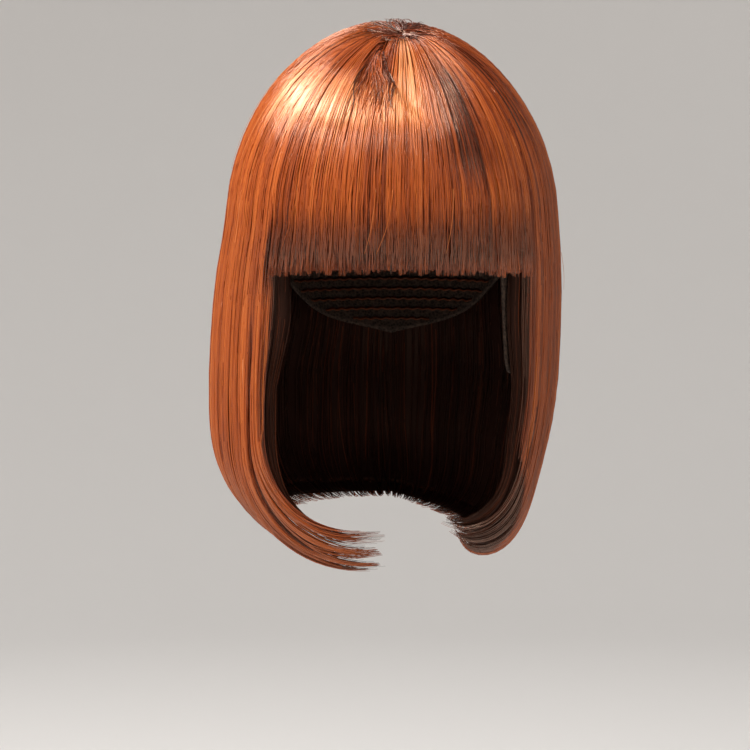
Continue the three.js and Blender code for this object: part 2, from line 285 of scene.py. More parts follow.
def hair_at(around, place, sunk=0.0, depth=0.0):
    """Points of the hair at a share of its depth, then sunk in millimetres. It runs straight past its end."""
    around, place, sunk, depth = np.broadcast_arrays(around, place, sunk, depth)
    outside = read_grid(OUTER, around, place)
    inside = read_grid(INNER, around, place)
    point = mix(outside, inside, depth[..., None]) + unit(inside - outside) * sunk[..., None]
    tip = read_grid(OUTER, around, np.full(place.shape, LAST_PLACE))
    before_tip = read_grid(OUTER, around, np.full(place.shape, LAST_PLACE - TIP_STEP))
    beyond = np.maximum(place - LAST_PLACE, 0)[..., None]
    return point + (tip - before_tip) * beyond / TIP_STEP


def bell(x, width):
    return np.exp(-(x / width) ** 2)


def window(x, low, high, soft):
    """1 between low and high, and falling to 0 within soft of them."""
    return ease(x, low - soft, low) * (1 - ease(x, high, high + soft))


# Lines in the hair. A line has its centre at the pivot's place, leans by degrees to a place, fades over its
# width, and runs from low to high with soft ends. Grooves are millimetres deep, and patches shift the tone as
# painted light.
LINE_COLUMNS = ("amount", "centre", "lean", "pivot", "width", "low", "high", "soft")
GROOVES = {
    "parting_left_arm": (2.6, -20.5, -6, 0.3, 2.2, 0.2, 0.4, 0.07),
    "crown_right": (1.7, 30, 0, 0, 9, 0.35, 0.72, 0.18),
    "beside_lock": (2.6, -50.2, -1.6, 1.9, 0.75, 1.7, 2.45, 0.35),
    "beside_fringe": (2.4, FRINGE_LEFT, 0, 0, 0.6, 0.98, 2, 0.08),
}
# The patch right of the parting is a painted highlight; the others are painted shade in the parting, on the
# crown's right and far right, in the grooves beside the lock and the fringe, and low on the left.
PAINTED_LIGHT_PATCHES = {
    "highlight_right_of_parting": (0.46, 8, 0, 0, 8, 0.1, 0.55, 0.1),
    "in_parting": (-0.1, -12, 0, 0, 7, 0.22, 0.5, 0.08),
    "crown_right": (-0.3, 31, 0, 0, 11, 0.42, 0.72, 0.16),
    "shade_far_right": (-0.2, 61, 0, 0, 10, 0.28, 0.6, 0.16),
    "beside_lock": (-0.4, -50.2, -1.6, 1.9, 0.8, 1.6, 2.45, 0.3),
    "beside_fringe": (-0.7, FRINGE_LEFT, 0, 0, 1.1, 1.08, 1.2, 0.05),
    "shade_low_left": (-0.14, -62, 0, 0, 9, 2.0, 2.6, 0.3),
}
# The parting's right arm runs from the fork to straight ahead, steep on its left and gentle on its right.
RIGHT_ARM = {
    "depth": 4.2, "fork_side": -20, "fork_place": 0.18, "run": 0.24, "steep": 2.4, "gentle": 10,
    "low": 0.16, "high": 0.52, "soft": 0.12}
# A painted highlight: lighter tone in a band across the crown's left, where the key lamp's gloss lies.
PAINTED_HIGHLIGHT_BAND = {"tone": 0.3, "left": -64, "right": -2, "fade": 8, "low": 0.44, "high": 0.58, "soft": 0.07}
# Painted shadow on the inside of the right curl, where the head's shadow would fall, which starts lower away
# from the face and has a lighter rim.
CURL_PAINTED_SHADOW = {
    "tone": -0.48, "left": 54, "right": 76, "fade": 6, "front": 57, "rear": 78, "front_start": 2.1,
    "rear_start": 2.62, "soft": 0.16, "rim_low": 2.84, "rim_high": 2.97, "rim": 0.9}


def side_of(around):
    """The same direction, between half a turn left and half a turn right."""
    return np.mod(around + 180, 360) - 180


def lines(table, side, place):
    """The sum of a table's lines."""
    total = 0.0
    for row in table.values():
        line = dict(zip(LINE_COLUMNS, row))
        off = side - line["centre"] - line["lean"] * (place - line["pivot"])
        shown = window(place, line["low"], line["high"], line["soft"])
        total = total + line["amount"] * bell(off, line["width"]) * shown
    return total


def grooves(around, place):
    """How deep the hair's surface lies in its partings, in millimetres."""
    side = side_of(around)
    arm = RIGHT_ARM
    off = side - mix(arm["fork_side"], 0, (place - arm["fork_place"]) / arm["run"])
    slope = np.where(off > 0, np.exp(-np.maximum(off, 0) / arm["gentle"]), bell(off, arm["steep"]))
    right_arm = slope * window(place, arm["low"], arm["high"], arm["soft"])
    return lines(GROOVES, side, place) + arm["depth"] * right_arm


def painted_light(around, place):
    """How much lighter or darker the hair is painted: painted shade in its partings, grooves, crown's right,
    lower left and right curl, and painted highlights in its band of light and right of the parting.
    """
    side = side_of(around)
    band = PAINTED_HIGHLIGHT_BAND
    curl = CURL_PAINTED_SHADOW
    in_painted_highlight = window(side, band["left"], band["right"], band["fade"])
    in_painted_highlight = in_painted_highlight * window(place, band["low"], band["high"], band["soft"])
    start = mix(curl["front_start"], curl["rear_start"], ease(side, curl["front"], curl["rear"]))
    rim = curl["rim"] * ease(place, curl["rim_low"], curl["rim_high"])
    in_curl_shadow = window(side, curl["left"], curl["right"], curl["fade"]) * (1 - rim)
    in_curl_shadow = in_curl_shadow * ease(place, start, start + curl["soft"])
    return lines(PAINTED_LIGHT_PATCHES, side, place) + band["tone"] * in_painted_highlight + curl["tone"] * in_curl_shadow


# Meshes.
def link_object(name, data):
    piece = bpy.data.objects.new(name, data)
    bpy.context.scene.collection.objects.link(piece)
    return piece


def make_mesh(name, vertices, faces, uvs, material, slot, nodes):
    """A smooth mesh piece that rides on the part and stands for CAD nodes. uvs has a row a corner."""
    mesh = bpy.data.meshes.new(name)
    corners = np.concatenate([np.ravel(block) for block in faces])
    sizes = np.concatenate([np.full(len(block), np.shape(block)[1]) for block in faces])
    mesh.vertices.add(len(vertices))
    mesh.vertices.foreach_set("co", np.ravel(vertices * MILLIMETRE).astype(np.float32))
    mesh.loops.add(len(corners))
    mesh.loops.foreach_set("vertex_index", corners.astype(np.int32))
    mesh.polygons.add(len(sizes))
    starts = np.concatenate([[0], np.cumsum(sizes)[:-1]])
    mesh.polygons.foreach_set("loop_start", starts.astype(np.int32))
    mesh.polygons.foreach_set("loop_total", sizes.astype(np.int32))
    mesh.polygons.foreach_set("use_smooth", np.ones(len(sizes), bool))
    layer = mesh.uv_layers.new(name="OFBake")
    layer.data.foreach_set("uv", np.ravel(uvs).astype(np.float32))
    mesh.update(calc_edges=True)
    mesh.materials.append(material)
    piece = link_object(name, mesh)
    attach(piece, "root")
    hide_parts(*nodes)


# A strand is flat with three sides. In its UV map, u is its tone and v how far along the hair it is.
FLATNESS = 1.5
UV_WIDTH = 0.006
UV_MARGIN = 0.01
UV_LENGTH = 0.97
DARKEST, LIGHTEST = 0.02, 0.98


def tube_arrays(path, radius, tone, along):
    """Closed tubes along paths (strand, sample, xyz): their vertices, faces and corner uvs.
    A tone is given for each strand, or for each of its samples."""
    count, samples = path.shape[:2]
    tangent = unit(np.gradient(path, axis=1))
    away = path - np.array([0.0, 0.0, -CROWN_RISE])
    side = unit(np.cross(tangent, away) + np.array([0.0, 0.0, 1e-6]))
    up = unit(np.cross(side, tangent))
    turn = np.radians([90, 210, 330])
    ring = FLATNESS * np.cos(turn)[:, None] * side[:, :, None, :] + np.sin(turn)[:, None] * up[:, :, None, :]
    vertices = path[:, :, None, :] + ring * radius[:, :, None, None]
    base = (np.arange(count) * samples * 3)[:, None, None]
    row = (np.arange(samples - 1) * 3)[None, :, None]
    corner = np.arange(3)[None, None, :]
    after = (corner + 1) % 3
    quads = np.stack(
        [base + row + corner, base + row + after, base + row + 3 + after, base + row + 3 + corner], axis=-1)
    first = base[:, 0] + np.array([2, 1, 0])
    last = base[:, 0] + (samples - 1) * 3 + np.array([0, 1, 2])
    tone = np.broadcast_to(tone if np.ndim(tone) == 2 else tone[:, None], path.shape[:2])
    tone = np.clip(tone, DARKEST, LIGHTEST)
    along = np.clip(along, 0, 1) * UV_LENGTH + UV_MARGIN
    near = slice(None, -1)
    far = slice(1, None)
    shift = np.array([0.0, UV_WIDTH, -UV_WIDTH])
    quad_uv = np.stack([
        np.stack(np.broadcast_arrays(tone[:, part, None] + shift[turned], along[:, part, None]), axis=-1)
        for part, turned in ((near, corner), (near, after), (far, after), (far, corner))], axis=-2)
    cap_shift = np.array([[-UV_WIDTH, 0.0], [UV_WIDTH, 0.0], [0.0, UV_WIDTH]])
    cap_uvs = [
        np.stack([tone[:, part] + cap_shift[:, 0], along[:, part] + cap_shift[:, 1]], axis=-1)
        for part in (slice(0, 1), slice(-1, None))]
    uvs = np.concatenate([block.reshape(-1, 2) for block in (quad_uv, *cap_uvs)])
    return vertices.reshape(-1, 3), [quads.reshape(-1, 4), first, last], uvs


def tubes(name, path, radius, tone, along, material, slot, nodes):
    make_mesh(name, *tube_arrays(path, radius, tone, along), material, slot, nodes)


# A body's UV map has its outside in the left half, its inside in the right, and its rims in thin strips.
HALF = 0.5
SHEET_WIDTH = 0.48
SHEET_LENGTH = 0.98
RIM_WIDTH = 0.004
RIM_TOP, RIM_FOOT = 0.001, 0.995
RIM_FIRST, RIM_LAST = 0.502, 0.993


def sheet_arrays(outer, inner, ring=False):
    """A closed body from an outer and an inner grid. A ring closes on itself."""
    columns, rows = outer.shape[:2]
    last = columns if ring else columns - 1

    def index(side, i, j):
        return side * columns * rows + (i % columns) * rows + j

    def across(i):
        return UV_MARGIN + SHEET_WIDTH * i / last

    def down(j):
        return UV_MARGIN + SHEET_LENGTH * j / (rows - 1)

    i, j = [grid.ravel() for grid in np.meshgrid(np.arange(last), np.arange(rows - 1), indexing="ij")]
    outside = [(i, j), (i, j + 1), (i + 1, j + 1), (i + 1, j)]
    inside = [(i, j), (i + 1, j), (i + 1, j + 1), (i, j + 1)]
    strips = [
        [(index(0, a, b), across(a), down(b)) for a, b in outside],
        [(index(1, a, b), HALF + across(a), down(b)) for a, b in inside]]
    i = np.arange(last)
    for j, v, flip in ((rows - 1, RIM_FOOT, False), (0, RIM_TOP, True)):
        strip = [
            (index(0, i, j), across(i), v), (index(1, i, j), across(i), v + RIM_WIDTH),
            (index(1, i + 1, j), across(i + 1), v + RIM_WIDTH), (index(0, i + 1, j), across(i + 1), v)]
        strips.append(strip[::-1] if flip else strip)
    j = np.arange(rows - 1)
    for i, u, flip in () if ring else ((0, RIM_FIRST, False), (columns - 1, RIM_LAST, True)):
        strip = [
            (index(0, i, j), u, down(j)), (index(1, i, j), u + RIM_WIDTH, down(j)),
            (index(1, i, j + 1), u + RIM_WIDTH, down(j + 1)), (index(0, i, j + 1), u, down(j + 1))]
        strips.append(strip[::-1] if flip else strip)
    vertices = np.concatenate([outer.reshape(-1, 3), inner.reshape(-1, 3)])
    faces = [np.stack([corner for corner, u, v in strip], axis=-1) for strip in strips]
    uvs = [
        np.stack([np.stack(np.broadcast_arrays(u, v), axis=-1) for corner, u, v in strip], axis=-2)
        for strip in strips]
    return vertices, faces, np.concatenate([block.reshape(-1, 2) for block in uvs])


# Materials.
COLOUR_A, COLOUR_B, MIXED_COLOUR = 6, 7, 2
HAIR_TINT = (1, 0.66, 0.48, 1)


def set_inputs(node, values):
    for name, value in values.items():
        node.inputs[name].default_value = value


def node_tree(name):
    material = bpy.data.materials.new(name)
    material.use_nodes = True
    nodes = material.node_tree.nodes
    return material, nodes, material.node_tree.links, nodes["Principled BSDF"]


def ramp(nodes, stops):
    """A colour ramp from rows of place and linear colour."""
    node = nodes.new("ShaderNodeValToRGB")
    elements = node.color_ramp.elements
    elements[0].position = stops[0][0]
    elements[0].color = (*stops[0][1], 1)
    elements[1].position = stops[-1][0]
    elements[1].color = (*stops[-1][1], 1)
    for place, colour in stops[1:-1]:
        elements.new(place).color = (*colour, 1)
    return node


def math_node(nodes, operation, second):
    node = nodes.new("ShaderNodeMath")
    node.operation = operation
    set_inputs(node, {1: second})
    return node


def colour_mix(nodes, blend):
    node = nodes.new("ShaderNodeMix")
    node.data_type = "RGBA"
    node.blend_type = blend
    return node


def add_bump(nodes, links, shader, height, strength, distance):
    bump = nodes.new("ShaderNodeBump")
    set_inputs(bump, {"Strength": strength, "Distance": distance})
    links.new(height, bump.inputs["Height"])
    links.new(bump.outputs["Normal"], shader.inputs["Normal"])


def streak_noise(nodes, links, uv, streaks):
    stretch = nodes.new("ShaderNodeMapping")
    set_inputs(stretch, {"Scale": (streaks, 5, 1)})
    links.new(uv.outputs["UV"], stretch.inputs["Vector"])
    noise = nodes.new("ShaderNodeTexNoise")
    set_inputs(noise, {"Scale": 1, "Detail": 3, "Roughness": 0.6})
    links.new(stretch.outputs["Vector"], noise.inputs["Vector"])
    return noise


def hair_material(name, tones, lengths, streaks, contrast, roughness, specular, index, inside=None):
    """Hair by its UV map: the tone by u, the shade along the hair by v, and fine streaks. A body's hair has a
    colour for its inside, which is painted shade and lies past the map's middle, and its tone comes from the
    streaks alone."""
    material, nodes, links, shader = node_tree(name)
    uv = nodes.new("ShaderNodeUVMap")
    uv.uv_map = "OFBake"
    split = nodes.new("ShaderNodeSeparateXYZ")
    links.new(uv.outputs["UV"], split.inputs["Vector"])
    noise = streak_noise(nodes, links, uv, streaks)
    spread = math_node(nodes, "MULTIPLY_ADD", contrast)
    links.new(noise.outputs["Fac"], spread.inputs[0])
    if not inside:
        links.new(split.outputs["X"], spread.inputs[2])
    shift = math_node(nodes, "ADD", (HALF if inside else 0) - contrast / 2)
    links.new(spread.outputs["Value"], shift.inputs[0])
    tone = ramp(nodes, tones)
    links.new(shift.outputs["Value"], tone.inputs["Fac"])
    shade = ramp(nodes, lengths)
    links.new(split.outputs["Y"], shade.inputs["Fac"])
    both = colour_mix(nodes, "MULTIPLY")
    set_inputs(both, {"Factor": 1})
    links.new(tone.outputs["Color"], both.inputs[COLOUR_A])
    links.new(shade.outputs["Color"], both.inputs[COLOUR_B])
    colour = both.outputs[MIXED_COLOUR]
    if inside:
        past = math_node(nodes, "GREATER_THAN", HALF)
        links.new(split.outputs["X"], past.inputs[0])
        choose = colour_mix(nodes, "MIX")
        set_inputs(choose, {COLOUR_B: (*inside, 1)})
        links.new(past.outputs["Value"], choose.inputs["Factor"])
        links.new(colour, choose.inputs[COLOUR_A])
        colour = choose.outputs[MIXED_COLOUR]
    links.new(colour, shader.inputs["Base Color"])
    add_bump(nodes, links, shader, noise.outputs["Fac"], 0.45, 0.0003)
    set_inputs(shader, {"Roughness": roughness, "IOR": index})
    set_inputs(shader, {"Specular IOR Level": specular, "Specular Tint": HAIR_TINT})
    return material


def net_material():
    """Dark knitted net with small meshes."""
    material, nodes, links, shader = node_tree("cap_net")
    where = nodes.new("ShaderNodeTexCoord")
    cells = nodes.new("ShaderNodeTexVoronoi")
    set_inputs(cells, {"Scale": 620})
    links.new(where.outputs["Object"], cells.inputs["Vector"])
    tone = ramp(nodes, [(0.1, (0.008, 0.005, 0.004)), (0.75, (0.07, 0.044, 0.031))])
    links.new(cells.outputs["Distance"], tone.inputs["Fac"])
    links.new(tone.outputs["Color"], shader.inputs["Base Color"])
    add_bump(nodes, links, shader, cells.outputs["Distance"], 0.6, 0.0004)
    set_inputs(shader, {"Roughness": 0.85, "Specular IOR Level": 0.2})
    return material


# Colours by tone, and factors on them by the place along the hair.
# The lightest copper is pale, reached where painted highlights raise the tone.
COPPER_TONES = [
    (0.0, (0.033, 0.005, 0.002)), (0.3, (0.15, 0.021, 0.004)), (0.55, (0.36, 0.064, 0.008)),
    (0.8, (0.53, 0.125, 0.019)), (1.0, (0.8, 0.33, 0.13))]
# Painted shade: the bodies are darker than the strands, as the shade between strands.
BODY_PAINTED_SHADE_TONES = [(0.0, (0.03, 0.005, 0.003)), (1.0, (0.28, 0.05, 0.009))]
# Painted shade: the inner hair's colours are dark as if deep in the wig's shadow.
UNDER_PAINTED_SHADE_TONES = [(0.0, (0.008, 0.003, 0.002)), (0.5, (0.026, 0.007, 0.004)), (1.0, (0.16, 0.036, 0.012))]
# Painted shade on the bodies' insides.
INSIDE_PAINTED_SHADE = (0.018, 0.006, 0.004)
PLAIN = (1, 1, 1)
ROOT_SHADE = (0.5, 0.45, 0.45)
NEAR_ROOT_SHADE = (0.88, 0.86, 0.86)
LENGTHS = [(0.0, ROOT_SHADE), (0.08, NEAR_ROOT_SHADE), (0.25, PLAIN), (1.0, PLAIN)]
# Bodies darken towards their ends: painted shade under the strands' tips.
BODY_END_PAINTED_SHADE = LENGTHS[:-1] + [(0.86, PLAIN), (0.95, (0.25, 0.2, 0.2)), (1.0, (0.12, 0.1, 0.1))]
# Painted shade on the fringe: a dark band above its tips where it curves under, and darker roots on its body.
FRINGE_PAINTED_SHADE = [
    (0.0, ROOT_SHADE), (0.15, NEAR_ROOT_SHADE), (0.4, PLAIN), (0.68, PLAIN), (0.76, (0.5, 0.42, 0.42)),
    (0.85, (0.3, 0.21, 0.22)), (0.89, (0.6, 0.48, 0.38)), (0.925, (0.95, 0.85, 0.7))]
FRINGE_BODY_PAINTED_SHADE = [(0, (0.7, 0.7, 0.7)), (0.6, PLAIN), (0.85, (0.4, 0.33, 0.4)), (1, (0.5, 0.4, 0.4))]
STRANDS = {"streaks": 420, "contrast": 0.3, "roughness": 0.25, "specular": 0.88, "index": 1.7}
INNER_STRANDS = {"streaks": 420, "contrast": 0.3, "roughness": 0.42, "specular": 0.4, "index": 1.38}
BODIES = {"streaks": 330, "contrast": 1.4, "roughness": 0.4, "specular": 0.4, "index": 1.5}
INNER_BODIES = {"streaks": 330, "contrast": 0.8, "roughness": 0.55, "specular": 0.25, "index": 1.38}
# The fringe's, the bodies' and the inner hair's materials carry painted shade.
copper = hair_material("copper_hair", COPPER_TONES, LENGTHS, **STRANDS)
fringe_copper_painted_shade = hair_material("fringe_hair_painted_shade", COPPER_TONES, FRINGE_PAINTED_SHADE, **STRANDS)
under_strands_painted_shade = hair_material("under_hair_painted_shade", UNDER_PAINTED_SHADE_TONES, LENGTHS, **INNER_STRANDS)
copper_body_painted_shade = hair_material("copper_body_painted_shade", BODY_PAINTED_SHADE_TONES, BODY_END_PAINTED_SHADE, **BODIES, inside=INSIDE_PAINTED_SHADE)
fringe_body = hair_material("fringe_body", BODY_PAINTED_SHADE_TONES, FRINGE_BODY_PAINTED_SHADE, **BODIES, inside=INSIDE_PAINTED_SHADE)
under_body_painted_shade = hair_material("under_body_painted_shade", UNDER_PAINTED_SHADE_TONES, BODY_END_PAINTED_SHADE, **INNER_BODIES, inside=INSIDE_PAINTED_SHADE)
net = net_material()

# How densely a strand is sampled: how many samples each place has before it.
SAMPLING = {"place": [0.0, 1, 2, 3, 3.4], "samples": [0.0, 13, 19, 37, 41]}


def sample_places(start, end, samples):
    """Places along each strand from its start to its end, closer together where the hair turns."""
    low = np.interp(start, SAMPLING["place"], SAMPLING["samples"])[:, None]
    high = np.interp(end, SAMPLING["place"], SAMPLING["samples"])[:, None]
    even = mix(low, high, np.linspace(0, 1, samples)[None, :])
    return np.interp(even, SAMPLING["samples"], SAMPLING["place"])


Cluster = namedtuple("Cluster", "cell centre across count")
CELL_SHIFT = 0.42


def clusters(rng, around, low, high, width):
    """Cells of about a width. across says where in its cell each strand lies, from -1 to 1."""
    count = max(1, int(round((high - low) / width)))
    edges = np.linspace(low, high, count + 1)
    edges[1:-1] += rng.uniform(-CELL_SHIFT, CELL_SHIFT, count - 1) * (high - low) / count
    cell = np.clip(np.searchsorted(edges, around) - 1, 0, count - 1)
    centre = (edges[cell] + edges[cell + 1]) / 2
    across = (around - centre) / ((edges[cell + 1] - edges[cell]) / 2)
    return Cluster(cell, centre, np.clip(across, -1, 1), count)


def wave(rng, cell, count, along, amplitude, waves):
    """A slow sideways wander that all the strands of a cell share."""
    phase = rng.uniform(0, 2 * math.pi, count)[cell][:, None]
    pace = rng.uniform(0.6, 1.4, count)[cell][:, None] * waves
    return amplitude * np.sin(phase + pace * along * 2 * math.pi)


def tapered(rng, count, radii, loss, along, start, end):
    """Radii of strands that narrow to their tips by a share of their size."""
    return rng.uniform(*radii, count)[:, None] * (1 - loss * ease(along, start, end))


# How long the hair is round each section, as the place where its longest strands end.
def full_length(around):
    return np.full(np.shape(around), LAST_PLACE)


def fringe_length(around):
    drop = FRINGE_DROP - FRINGE_ARCH * np.cos(np.radians(around))
    return 1 + drop / (HANG * curl_of(around, "start"))


def lock_length(around):
    return LAST_PLACE + 0.14 * ease(around, -50, -46)


def right_length(around):
    return LAST_PLACE - 0.85 * (1 - ease(around, 57, 77))


def millimetres_per_place(around, fringe):
    if fringe:
        return HANG * curl_of(around, "start")
    return curl_of(around, "length") * CURL_LENGTH


# The sections of outer hair. Widths and wanders are in degrees. In millimetres, ragged and uneven shorten
# tufts and strands, tufts meet over their tip, and bulge, step, furrow and layer set how deep strands lie.
BASE = {
    "fringe": False, "longest": full_length, "kept_long": 0.0, "span": 3.15, "wisp": 1.3, "tuft": 3.4,
    "lock": 7, "ragged": 10, "uneven": 12, "tip": 30, "pull": 0.22, "tip_pull": 0.35, "wander": 0.25,
    "stray": 0.28, "bulge": 0.3, "step": 0.55, "furrow": 0.7, "layer": 1.3, "taper": 0.14, "tone": 0.56,
    "wisp_tone": 0.06, "lock_tone": 0.035, "strand_tone": 0.085, "skin": 2.0, "columns": 48, "rows": 52,
    "closing": 0.35, "edge_uneven": 1.3, "body_end": 0.22, "samples": 30}
SECTIONS = {
    "fringe": {
        **BASE, "from": FRINGE_LEFT, "to": FRINGE_RIGHT, "longest": fringe_length, "fringe": True,
        "span": 1.31, "tuft": 2.3, "ragged": 2.6, "uneven": 3.4, "tip": 12, "tip_pull": 0.5, "taper": 0.08,
        "columns": 66, "rows": 26, "closing": 0.06, "body_end": 0.03, "strands": 1180, "samples": 21},
    "front_lock_left": {
        **BASE, "from": LOCK_LEFT, "to": FRINGE_LEFT, "longest": lock_length, "lock": 4.9, "tuft": 2.2,
        "ragged": 24, "uneven": 14, "tip": 46, "tip_pull": 0.7, "taper": 0.2, "tone": 0.62, "columns": 10,
        "body_end": 0.6, "strands": 330, "samples": 32},
    # The left side's lighter tone and the right side's darker tone are painted light and painted shade, as
    # from the key lamp on the left.
    "side_left": {**BASE, "from": -BACK_FROM, "to": LOCK_LEFT, "tone": 0.6, "strands": 770},
    "side_right": {
        **BASE, "from": FRINGE_RIGHT, "to": BACK_FROM, "longest": right_length, "kept_long": 0.1,
        "edge_uneven": 3, "tone": 0.5, "wisp_tone": 0.1, "strands": 750},
    "back": {**BASE, "from": BACK_FROM, "to": 360 - BACK_FROM, "columns": 70, "strands": 890},
}
# Strands that fill the hair's thickness at its free edges, between two shares of its depth.
EDGE_COLUMNS = ("from", "to", "shallow", "deep", "strands")
EDGES = {
    "fringe": [(-44.2, FRINGE_RIGHT, 0.1, 1.0, 200)],
    "front_lock_left": [(-46.8, -45.4, 0.0, 0.5, 40), (LOCK_LEFT, FRINGE_LEFT, 0.15, 0.5, 40)],
    "side_left": [(-BACK_FROM, LOCK_LEFT, 0.15, 0.5, 40)],
    "side_right": [(FRINGE_RIGHT, 56.2, 0.0, 0.5, 50), (FRINGE_RIGHT, BACK_FROM, 0.15, 0.5, 40)],
    "back": [(BACK_FROM, 360 - BACK_FROM, 0.15, 0.5, 50)],
}
STRAND_RADII = (0.19, 0.36)
INNER_RADII = (0.2, 0.36)
TIP_LOSS = 0.75
LAST_ROOT = 0.8
KEPT_LENGTH = 3.02
DOME_RUN = 150
ROOT_DEPTH = 2.6
EMERGES_OVER = 22
BODY_START = 0.12


def strand_ends(rng, section, around, tuft):
    """The places where each strand starts and ends."""
    count = len(around)
    start = np.minimum(np.arcsin(rng.uniform(0.12, 1, count)) * 2 / math.pi, LAST_ROOT)
    kept_long = rng.uniform(0, 1, count) < section["kept_long"]
    longest = np.where(kept_long, KEPT_LENGTH, section["longest"](tuft.centre))
    shorter = section["ragged"] * rng.uniform(0, 1, tuft.count)[tuft.cell] ** 1.6
    shorter = shorter + section["uneven"] * rng.uniform(0, 1, count) ** 1.7
    return start, longest - shorter / millimetres_per_place(around, section["fringe"])


def strand_angles(rng, section, around, wisp, tuft, place, along, near_tip):
    """Where samples lie round the whorl: drawn into wisps and tufts, and crossed in the parting."""
    count = len(around)
    strands = np.arange(count)
    angle = mix(around[:, None], wisp.centre[:, None], section["pull"] * ease(place, 0.5, 1.5))
    angle = mix(angle, tuft.centre[:, None], section["tip_pull"] * near_tip)
    angle = angle + wave(rng, wisp.cell, wisp.count, along, section["wander"], 0.8) * ease(place, 0.3, 1.2)
    for size, waves in ((1, 1.3), (0.5, 3)):
        angle = angle + wave(rng, strands, count, along, section["stray"] * size, waves) * ease(place, 0.2, 1)
    in_parting = bell(angle + 10, 8) * window(place, 0.2, 0.5, 0.08)
    return angle + in_parting * wave(rng, strands, count, place, 1.5, 1.6)


def strand_depths(rng, section, start, place, wisp, lock):
    """How deep each sample lies in millimetres, and each strand's layer, from 0 at the top to 1."""
    sunk = 0.4 + section["bulge"] * (wisp.across ** 2)[:, None] * ease(place, 0.3, 1.2)
    step = section["step"] * rng.uniform(0, 1, wisp.count)[wisp.cell]
    sunk = sunk + step[:, None] * ease(place, 0.25, 0.9)
    sunk = sunk + section["furrow"] * (np.abs(lock.across) ** 4)[:, None] * ease(place, 0.4, 1.2)
    layer = rng.uniform(0, 1, len(start)) ** 1.4
    emerged = ease((place - start[:, None]) * DOME_RUN, 0, EMERGES_OVER)
    root = ROOT_DEPTH * (start > 0.2)
    return sunk + section["layer"] * layer[:, None] + root[:, None] * (1 - emerged), layer


def strand_tones(rng, section, angle, place, along, wisp, lock, layer):
    """The tone of each sample: by wisp, lock and strand, with painted shade that darkens the lower layers,
    more near the curl.
    """
    tone = section["tone"] + section["wisp_tone"] * rng.normal(0, 1, wisp.count)[wisp.cell]
    tone = tone + section["lock_tone"] * rng.normal(0, 1, lock.count)[lock.cell]
    tone = tone + section["strand_tone"] * rng.normal(0, 1, len(layer)) - 0.16 * layer
    tone = tone[:, None] + painted_light(angle, place) + wave(rng, wisp.cell, wisp.count, along, 0.05, 0.7)
    return tone - 0.3 * layer[:, None] * ease(place, 2.4, 2.7)


def dress(rng, section, count):
    """Strands over the outside of a section. Returns their paths, radii, tones and places along the hair."""
    low, high = section["from"], section["to"]
    around = mix(low, high, (np.arange(count) + rng.uniform(0, 1, count)) / count)
    wisp, tuft, lock = [clusters(rng, around, low, high, section[size]) for size in ("wisp", "tuft", "lock")]
    start, end = strand_ends(rng, section, around, tuft)
    place = sample_places(start, end, section["samples"])
    along = (place - start[:, None]) / np.maximum(end - start, 0.2)[:, None]
    tip = section["tip"] / millimetres_per_place(around, section["fringe"])
    near_tip = ease(place, (end - tip)[:, None], end[:, None])
    angle = strand_angles(rng, section, around, wisp, tuft, place, along, near_tip)
    sunk, layer = strand_depths(rng, section, start, place, wisp, lock)
    path = hair_at(angle, place, sunk=sunk + grooves(angle, place))
    radius = tapered(rng, count, STRAND_RADII, TIP_LOSS, along, 1 - section["taper"], 1)
    radius = radius * mix(0.45, 1, ease(along, 0, 0.08))
    tone = strand_tones(rng, section, angle, place, along, wisp, lock, layer)
    return path, radius, tone, place / section["span"] + rng.normal(0, 0.013, count)[:, None]


def fill_edge(rng, section, edge):
    """Strands through the thickness of the hair at a free edge, with painted shade that is darker the deeper
    they lie.
    """
    count = edge["strands"]
    around = rng.uniform(edge["from"], edge["to"], count)
    depth = rng.uniform(edge["shallow"], edge["deep"], count)
    start = rng.uniform(0.55, LAST_ROOT, count)
    shorter = section["uneven"] * section["edge_uneven"] * rng.uniform(0, 1, count)
    end = section["longest"](around) - shorter / millimetres_per_place(around, section["fringe"])
    place = sample_places(start, end, section["samples"])
    along = np.linspace(0, 1, section["samples"])[None, :]
    angle = around[:, None] + wave(rng, np.arange(count), count, along, section["stray"] * 1.4, 1)
    path = hair_at(angle, place, depth=depth[:, None], sunk=0.3)
    radius = tapered(rng, count, INNER_RADII, TIP_LOSS, along, 1 - section["taper"], 1)
    tone = section["tone"] - 0.05 + section["strand_tone"] * rng.normal(0, 1, count) - 1.1 * depth
    return path, radius, tone[:, None] + painted_light(angle, place), place / section["span"]


def joined(groups):
    return [np.concatenate(parts) for parts in zip(*groups)]


def body(section):
    """The smooth closed body of a section that lies under its strands, thin at its end."""
    around = np.linspace(section["from"], section["to"], section["columns"] + 1)
    last = section["longest"](around) - section["body_end"]
    place = sample_places(np.full(len(around), BODY_START), last, section["rows"])
    angle = np.broadcast_to(around[:, None], place.shape)
    bottom = 1 if section["fringe"] else 0.5
    thick = np.linalg.norm(read_grid(INNER, angle, place) - read_grid(OUTER, angle, place), axis=-1)
    skin = np.minimum((section["skin"] + grooves(angle, place)) / thick, bottom)
    closing = ease(place, last[:, None] - section["closing"], last[:, None]) * 0.85
    middle = (skin + bottom) / 2
    under = np.where(place < HAIRLINE, 1, bottom)
    outside, inside = [hair_at(angle, place, depth=mix(side, middle, closing)) for side in (skin, under)]
    return sheet_arrays(outside, inside)


def build_section(rng, name, section, share):
    groups = [dress(rng, section, int(section["strands"] * share))]
    for row in EDGES[name]:
        groups.append(fill_edge(rng, section, dict(zip(EDGE_COLUMNS, row))))
    strands, under = (fringe_copper_painted_shade, fringe_body) if section["fringe"] else (copper, copper_body_painted_shade)
    tubes(f"{name}_strands", *joined(groups), strands, "copper_hair", [name])
    make_mesh(f"{name}_body", *body(section), under, "copper_hair", [name])


